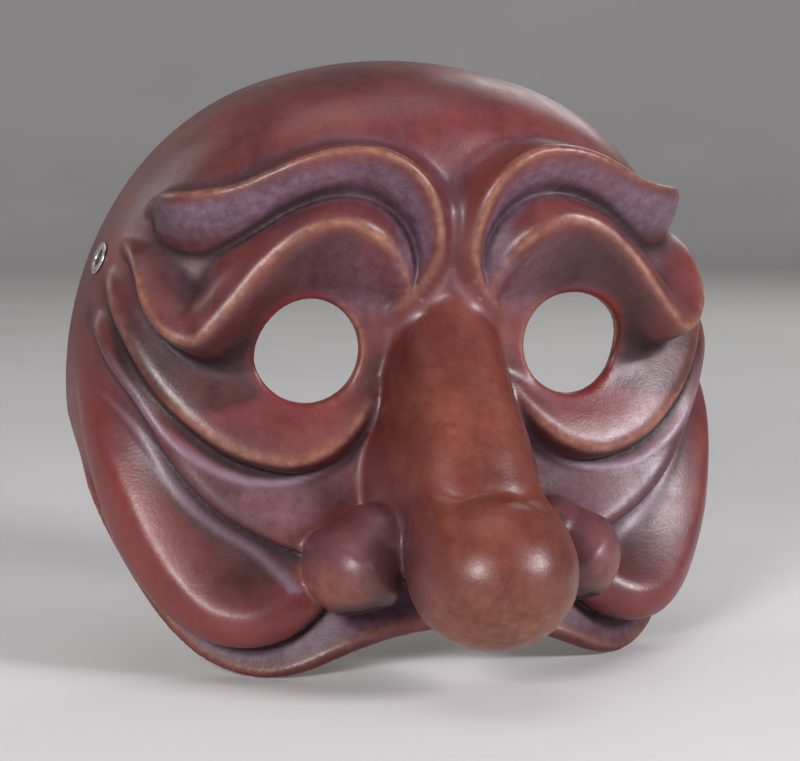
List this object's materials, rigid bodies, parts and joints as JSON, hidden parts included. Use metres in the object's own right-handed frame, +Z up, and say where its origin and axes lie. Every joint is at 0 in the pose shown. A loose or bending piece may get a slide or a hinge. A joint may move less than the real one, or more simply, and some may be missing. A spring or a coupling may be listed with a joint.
{
  "type": "theatrical half mask",
  "caption": "Grotesque half face mask with a long drooping nose, sinuous brows, round eye holes, bags and jowls, strap eyelets and inner pads.",
  "frame": {"origin": "middle of the rear rim plane, where the wearer's face sits, a little below eye height", "axes": "+Y from the nose back towards the wearer, normal to the rear rim plane; -Y the way the face looks; +Z up the face; X across it, with left and right named as seen in a front view (left is -X)"},
  "size_m": [0.1696, 0.113, 0.1515],
  "materials": {
    "moulded_leather": "painted, patinated, satin gloss",
    "nickel_plate": "plated",
    "foam_pad": "matt"
  },
  "bodies": {
    "root": {"mask_shell": "moulded_leather", "eyelet_left": "nickel_plate", "eyelet_right": "nickel_plate", "eyelet_washer_left": "nickel_plate", "eyelet_washer_right": "nickel_plate", "forehead_pad": "foam_pad", "brow_pad": "foam_pad", "cheek_pad_left": "foam_pad", "cheek_pad_right": "foam_pad"}
  },
  "joints": []
}
